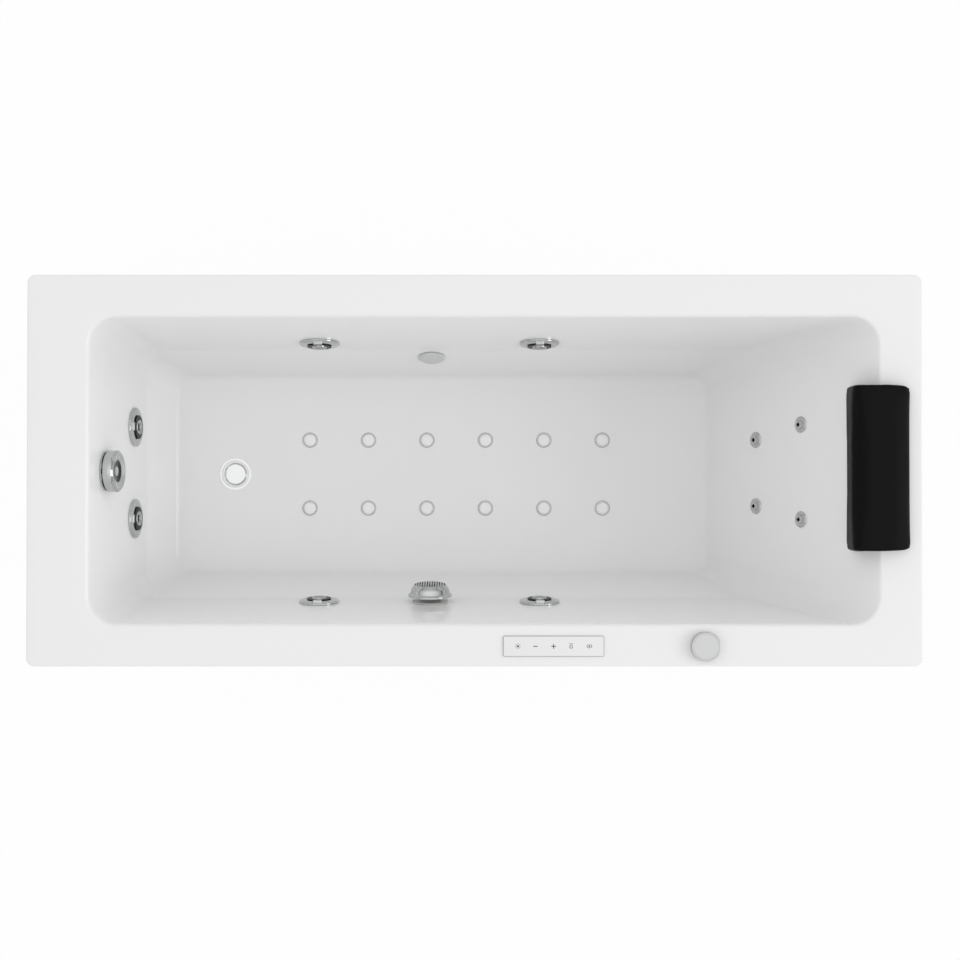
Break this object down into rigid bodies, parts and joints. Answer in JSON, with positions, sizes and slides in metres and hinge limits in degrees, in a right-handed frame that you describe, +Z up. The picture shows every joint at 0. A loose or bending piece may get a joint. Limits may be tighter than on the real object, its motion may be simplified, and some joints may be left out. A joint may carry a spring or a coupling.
{
  "type": "jetted bathtub",
  "caption": "Rectangular single-ended acrylic bath on a steel frame, with aimable water jets, air jets, suction, pump, blower, pop-up waste and headrest.",
  "frame": {"origin": "on the floor, under the middle of the rim", "axes": "+X along the length towards the sloped head end, +Y towards the room's wall, +Z up"},
  "size_m": [1.6, 0.7, 0.5843],
  "materials": {
    "white_acrylic": "polished white acrylic",
    "birch_board": "sealed board",
    "zinc_steel": "galvanised",
    "plated_fastener": "zinc plated",
    "foot_steel": "zinc plated",
    "chrome": "polished chrome",
    "grey_plastic": "smooth grey",
    "black_plastic": "moulded black",
    "white_pipe_plastic": "extruded white",
    "clear_cap_plastic": "gloss white",
    "grey_tube_plastic": "satin grey",
    "seal_rubber": "matt",
    "lens_glass": "clear",
    "motor_enamel": "semi-gloss enamel",
    "blower_plastic": "moulded",
    "panel_gloss": "gloss",
    "satin_chrome": "satin",
    "headrest_skin": "soft skin foam",
    "strip_plastic": "moulded"
  },
  "bodies": {
    "tub": {"tub_shell": "white_acrylic", "base_board": "birch_board", "frame_rails": "zinc_steel", "frame_posts": "zinc_steel", "frame_screws": "plated_fastener", "foot_nuts": "plated_fastener", "wall_fittings": "white_pipe_plastic", "jet_sockets": "black_plastic", "jet_bodies": "white_pipe_plastic", "fitting_seals": "seal_rubber", "micro_jet_flanges": "chrome", "micro_jet_bodies": "black_plastic", "air_jet_rings": "grey_plastic", "air_jet_caps": "clear_cap_plastic", "air_jet_bodies": "white_pipe_plastic", "air_manifold": "grey_tube_plastic", "suction_cover": "chrome", "suction_body": "white_pipe_plastic", "light_lens": "lens_glass", "light_housing": "grey_tube_plastic", "overflow_flange": "chrome", "overflow_body": "white_pipe_plastic", "waste_flange": "chrome", "waste_trap": "white_pipe_plastic", "bowden_cable": "seal_rubber", "pump_wet_end": "black_plastic", "pump_motor": "motor_enamel", "water_pipes": "white_pipe_plastic", "blower": "blower_plastic", "equipment_tray": "zinc_steel", "control_box": "blower_plastic", "touch_panel": "panel_gloss", "air_valve": "white_pipe_plastic", "rim_nuts": "white_pipe_plastic", "headrest_base": "strip_plastic", "headrest": "headrest_skin"},
    "foot_1": {"foot_1": "foot_steel"},
    "foot_2": {"foot_2": "foot_steel"},
    "foot_3": {"foot_3": "foot_steel"},
    "foot_4": {"foot_4": "foot_steel"},
    "foot_5": {"foot_5": "foot_steel"},
    "jet_face_1": {"jet_face_1": "chrome"},
    "jet_nozzle_1": {"jet_nozzle_1": "chrome"},
    "jet_face_2": {"jet_face_2": "chrome"},
    "jet_nozzle_2": {"jet_nozzle_2": "chrome"},
    "jet_face_3": {"jet_face_3": "chrome"},
    "jet_nozzle_3": {"jet_nozzle_3": "chrome"},
    "jet_face_4": {"jet_face_4": "chrome"},
    "jet_nozzle_4": {"jet_nozzle_4": "chrome"},
    "jet_face_5": {"jet_face_5": "chrome"},
    "jet_nozzle_5": {"jet_nozzle_5": "chrome"},
    "jet_face_6": {"jet_face_6": "chrome"},
    "jet_nozzle_6": {"jet_nozzle_6": "chrome"},
    "micro_nozzle_1": {"micro_nozzle_1": "grey_plastic"},
    "micro_nozzle_2": {"micro_nozzle_2": "grey_plastic"},
    "micro_nozzle_3": {"micro_nozzle_3": "grey_plastic"},
    "micro_nozzle_4": {"micro_nozzle_4": "grey_plastic"},
    "overflow_knob": {"overflow_knob": "chrome"},
    "waste_plug": {"waste_plug": "chrome"},
    "air_knob": {"air_knob": "satin_chrome"}
  },
  "joints": [
    {"name": "foot_1_level", "type": "slide", "parent": "tub", "child": "foot_1", "axis": [0, 0, 1], "range_m": [-0.02, 0.02]},
    {"name": "foot_2_level", "type": "slide", "parent": "tub", "child": "foot_2", "axis": [0, 0, 1], "range_m": [-0.02, 0.02]},
    {"name": "foot_3_level", "type": "slide", "parent": "tub", "child": "foot_3", "axis": [0, 0, 1], "range_m": [-0.02, 0.02]},
    {"name": "foot_4_level", "type": "slide", "parent": "tub", "child": "foot_4", "axis": [0, 0, 1], "range_m": [-0.02, 0.02]},
    {"name": "foot_5_level", "type": "slide", "parent": "tub", "child": "foot_5", "axis": [0, 0, 1], "range_m": [-0.02, 0.02]},
    {"name": "jet_face_1_turn", "type": "hinge", "parent": "tub", "child": "jet_face_1", "pos_m": [-0.298, 0.24806, 0.35], "axis": [0, -0.9919, 0.1273], "range_deg": [0, 180]},
    {"name": "jet_nozzle_1_tilt", "type": "hinge", "parent": "tub", "child": "jet_nozzle_1", "pos_m": [-0.298, 0.2431, 0.35064], "axis": [1, 0, 0], "range_deg": [-15, 15]},
    {"name": "jet_face_2_turn", "type": "hinge", "parent": "tub", "child": "jet_face_2", "pos_m": [0.123, 0.24806, 0.35], "axis": [0, -0.9919, 0.1273], "range_deg": [0, 180]},
    {"name": "jet_nozzle_2_tilt", "type": "hinge", "parent": "tub", "child": "jet_nozzle_2", "pos_m": [0.123, 0.2431, 0.35064], "axis": [1, 0, 0], "range_deg": [-15, 15]},
    {"name": "jet_face_3_turn", "type": "hinge", "parent": "tub", "child": "jet_face_3", "pos_m": [-0.298, -0.24806, 0.35], "axis": [0, 0.9919, 0.1273], "range_deg": [0, 180]},
    {"name": "jet_nozzle_3_tilt", "type": "hinge", "parent": "tub", "child": "jet_nozzle_3", "pos_m": [-0.298, -0.2431, 0.35064], "axis": [-1, 0, 0], "range_deg": [-15, 15]},
    {"name": "jet_face_4_turn", "type": "hinge", "parent": "tub", "child": "jet_face_4", "pos_m": [0.123, -0.24806, 0.35], "axis": [0, 0.9919, 0.1273], "range_deg": [0, 180]},
    {"name": "jet_nozzle_4_tilt", "type": "hinge", "parent": "tub", "child": "jet_nozzle_4", "pos_m": [0.123, -0.2431, 0.35064], "axis": [-1, 0, 0], "range_deg": [-15, 15]},
    {"name": "jet_face_5_turn", "type": "hinge", "parent": "tub", "child": "jet_face_5", "pos_m": [-0.65923, 0.0885, 0.31], "axis": [0.9925, 0, 0.1222], "range_deg": [0, 180]},
    {"name": "jet_nozzle_5_tilt", "type": "hinge", "parent": "tub", "child": "jet_nozzle_5", "pos_m": [-0.65427, 0.0885, 0.31061], "axis": [0, 1, 0], "range_deg": [-15, 15]},
    {"name": "jet_face_6_turn", "type": "hinge", "parent": "tub", "child": "jet_face_6", "pos_m": [-0.65923, -0.0885, 0.31], "axis": [0.9925, 0, 0.1222], "range_deg": [0, 180]},
    {"name": "jet_nozzle_6_tilt", "type": "hinge", "parent": "tub", "child": "jet_nozzle_6", "pos_m": [-0.65427, -0.0885, 0.31061], "axis": [0, 1, 0], "range_deg": [-15, 15]},
    {"name": "micro_nozzle_1_spin", "type": "hinge", "parent": "tub", "child": "micro_nozzle_1", "pos_m": [0.548, 0.0645, 0.28574], "axis": [-0.8437, 0, 0.5368], "continuous": true},
    {"name": "micro_nozzle_2_spin", "type": "hinge", "parent": "tub", "child": "micro_nozzle_2", "pos_m": [0.548, -0.0645, 0.28574], "axis": [-0.8437, 0, 0.5368], "continuous": true},
    {"name": "micro_nozzle_3_spin", "type": "hinge", "parent": "tub", "child": "micro_nozzle_3", "pos_m": [0.615, 0.0895, 0.39104], "axis": [-0.8437, 0, 0.5368], "continuous": true},
    {"name": "micro_nozzle_4_spin", "type": "hinge", "parent": "tub", "child": "micro_nozzle_4", "pos_m": [0.615, -0.0895, 0.39104], "axis": [-0.8437, 0, 0.5368], "continuous": true},
    {"name": "overflow_knob_turn", "type": "hinge", "parent": "tub", "child": "overflow_knob", "pos_m": [-0.67868, 0, 0.468], "axis": [0.9925, 0, 0.1222], "range_deg": [0, 90]},
    {"name": "waste_plug_lift", "type": "slide", "parent": "tub", "child": "waste_plug", "axis": [0, 0, 1], "range_m": [0, 0.01]},
    {"name": "air_knob_turn", "type": "hinge", "parent": "tub", "child": "air_knob", "pos_m": [0.4106, -0.3134, 0.56], "axis": [0, 0, 1], "range_deg": [0, 180]}
  ],
  "couplings": [
    {"joint": "waste_plug_lift", "follows": "overflow_knob_turn", "m_per_rad": 0.006366}
  ]
}
